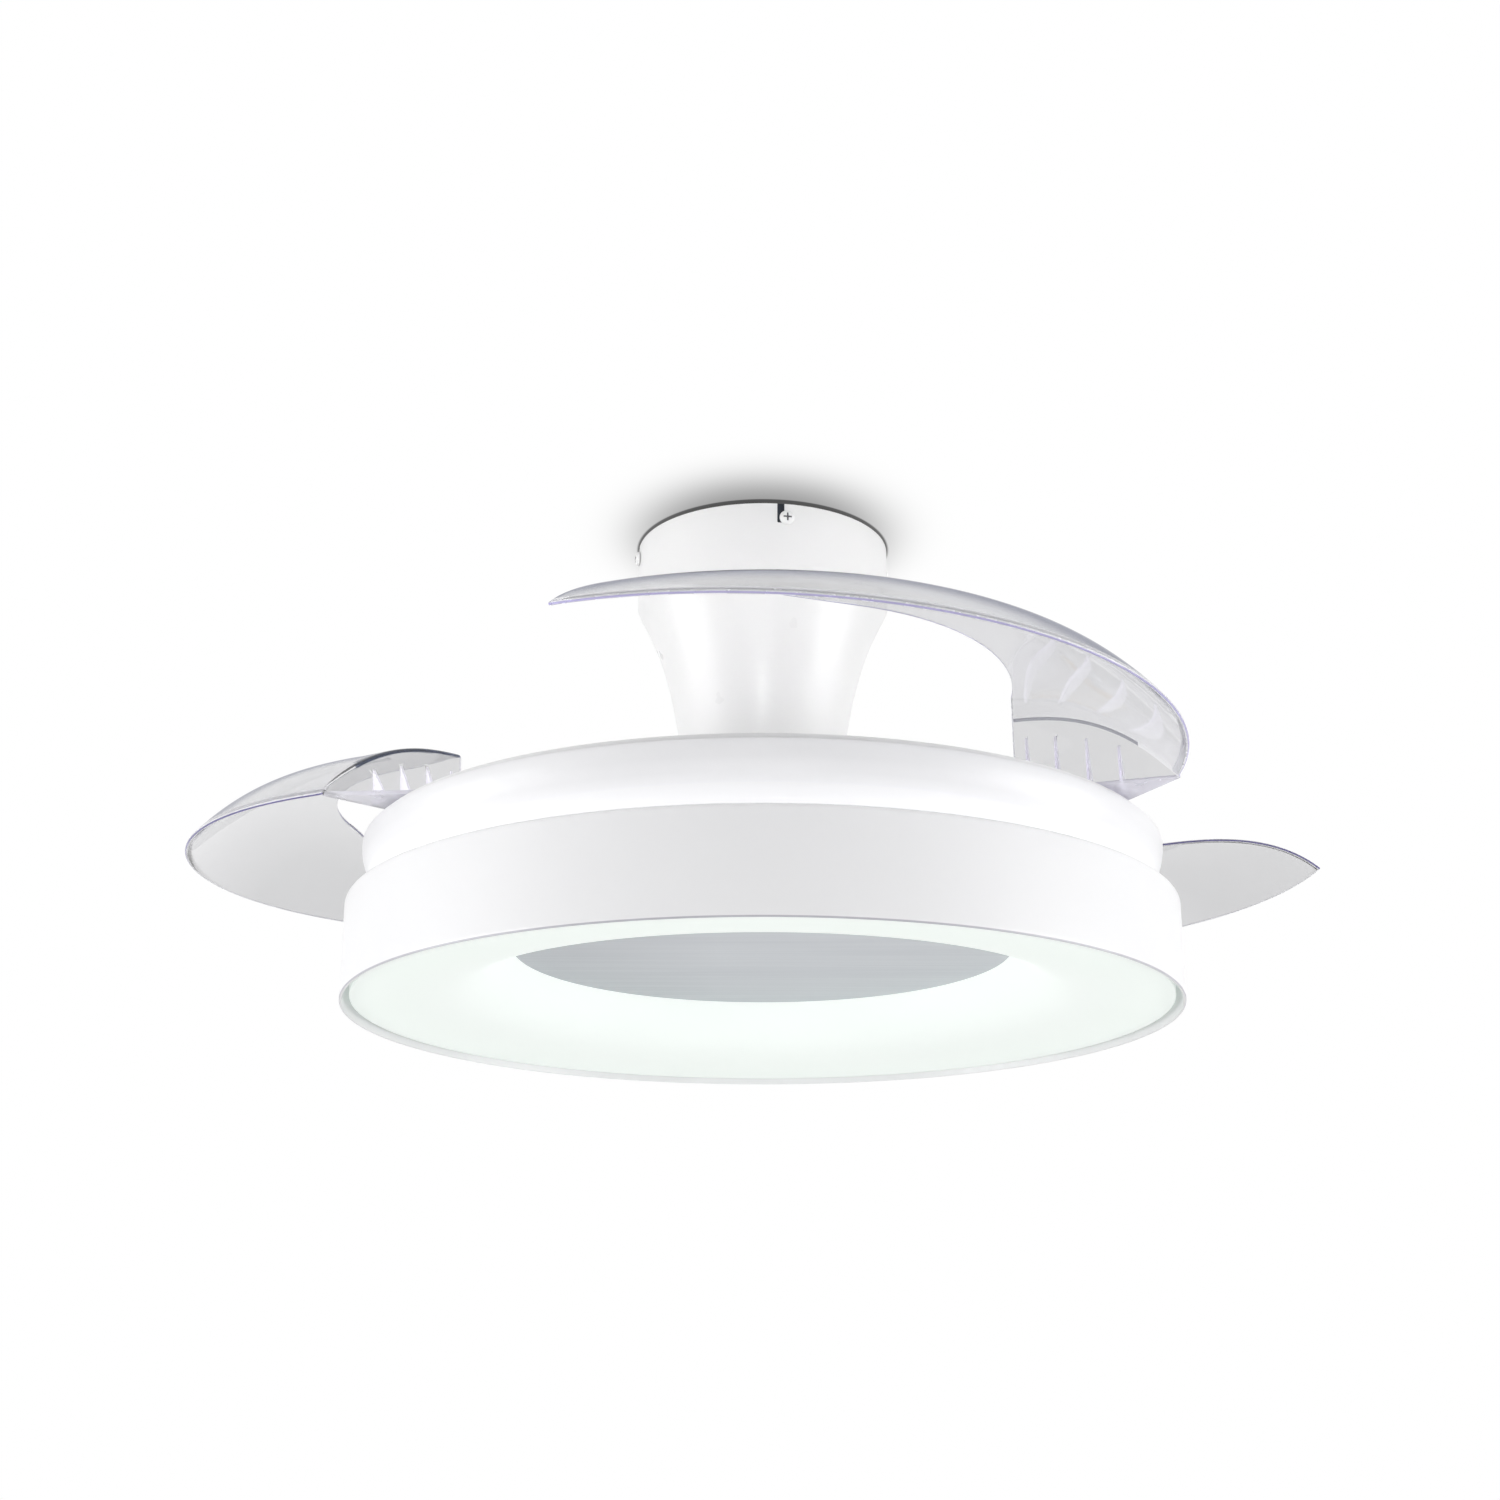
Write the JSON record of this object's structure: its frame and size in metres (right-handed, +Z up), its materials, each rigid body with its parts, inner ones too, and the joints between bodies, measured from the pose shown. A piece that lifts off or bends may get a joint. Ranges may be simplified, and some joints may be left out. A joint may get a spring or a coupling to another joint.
{
  "type": "retractable blade ceiling fan",
  "caption": "Ceiling fan with light ring: clear curved blades fold in over a white drum, geared to open together, below a flared canopy.",
  "frame": {"origin": "centre of the ceiling bracket's face against the ceiling, on the fan's axis", "axes": "+Z points up into the ceiling, the fan hangs towards -Z, and the rotor turns about Z; +Y points away from the picture's camera and +X to its right"},
  "size_m": [0.855, 0.8123, 0.348],
  "materials": {
    "white_paint": "satin white coat on moulded plastic",
    "steel": "zinc plated",
    "alloy": "satin",
    "dark_iron": "coated laminations and ferrite",
    "copper": "enamelled wire",
    "white_plastic": "matt",
    "gear_plastic": "natural nylon",
    "bronze": "sintered",
    "opal_plastic": "opal, light-spreading",
    "led_yellow": "phosphor",
    "black_rubber": "matt",
    "clear_plastic": "clear, polished"
  },
  "bodies": {
    "housing": {"ceiling_bracket": "steel", "canopy": "white_paint", "canopy_screws": "steel", "hollow_shaft": "steel", "flange_screws": "steel", "terminal_block": "white_plastic", "receiver_box": "white_plastic", "wiring_loom": "black_rubber", "shaft_nuts": "steel", "stator_hub": "alloy", "stator_core": "dark_iron", "stator_windings": "copper", "bearing_inner_races": "steel", "drum": "white_paint", "light_ring": "white_paint", "light_pan": "alloy", "ring_screws": "steel", "led_board": "alloy", "led_chips": "led_yellow", "led_driver": "white_plastic", "centre_plate": "alloy", "plate_spacers": "steel", "diffuser": "opal_plastic"},
    "rotor": {"bearing_outer_races": "steel", "bearing_balls": "steel", "lower_bell": "alloy", "upper_bell": "alloy", "bell_screws": "steel", "magnets": "dark_iron", "carrier_plate": "alloy", "carrier_screws": "steel", "pivot_pins": "steel", "pivot_retainers": "steel", "dust_cover": "white_plastic", "cover_screws": "steel", "return_springs": "steel", "stop_bumpers": "black_rubber"},
    "sync": {"sync_gear": "gear_plastic"},
    "blade_1_body": {"blade_1": "clear_plastic", "blade_hub_1": "gear_plastic", "blade_bush_1": "bronze", "blade_screws_1": "steel"},
    "blade_2_body": {"blade_2": "clear_plastic", "blade_hub_2": "gear_plastic", "blade_bush_2": "bronze", "blade_screws_2": "steel"},
    "blade_3_body": {"blade_3": "clear_plastic", "blade_hub_3": "gear_plastic", "blade_bush_3": "bronze", "blade_screws_3": "steel"}
  },
  "joints": [
    {"name": "rotor_spin", "type": "hinge", "parent": "housing", "child": "rotor", "pos_m": [0, 0, -0.26], "axis": [0, 0, 1], "continuous": true},
    {"name": "sync_turn", "type": "hinge", "parent": "rotor", "child": "sync", "pos_m": [0, 0, -0.24], "axis": [0, 0, 1], "range_deg": [0, 9.78], "deforming": ["return_springs"]},
    {"name": "blade_1_fold", "type": "hinge", "parent": "rotor", "child": "blade_1_body", "pos_m": [0.192, -0.09395, -0.24], "axis": [0, 0, 1], "range_deg": [-52.15, 0]},
    {"name": "blade_2_fold", "type": "hinge", "parent": "rotor", "child": "blade_2_body", "pos_m": [-0.17736, -0.1193, -0.24], "axis": [0, 0, 1], "range_deg": [-52.15, 0]},
    {"name": "blade_3_fold", "type": "hinge", "parent": "rotor", "child": "blade_3_body", "pos_m": [-0.01463, 0.21325, -0.24], "axis": [0, 0, 1], "range_deg": [-52.15, 0]}
  ],
  "couplings": [
    {"joint": "blade_1_fold", "follows": "sync_turn", "ratio": -5.3333},
    {"joint": "blade_2_fold", "follows": "sync_turn", "ratio": -5.3333},
    {"joint": "blade_3_fold", "follows": "sync_turn", "ratio": -5.3333}
  ]
}
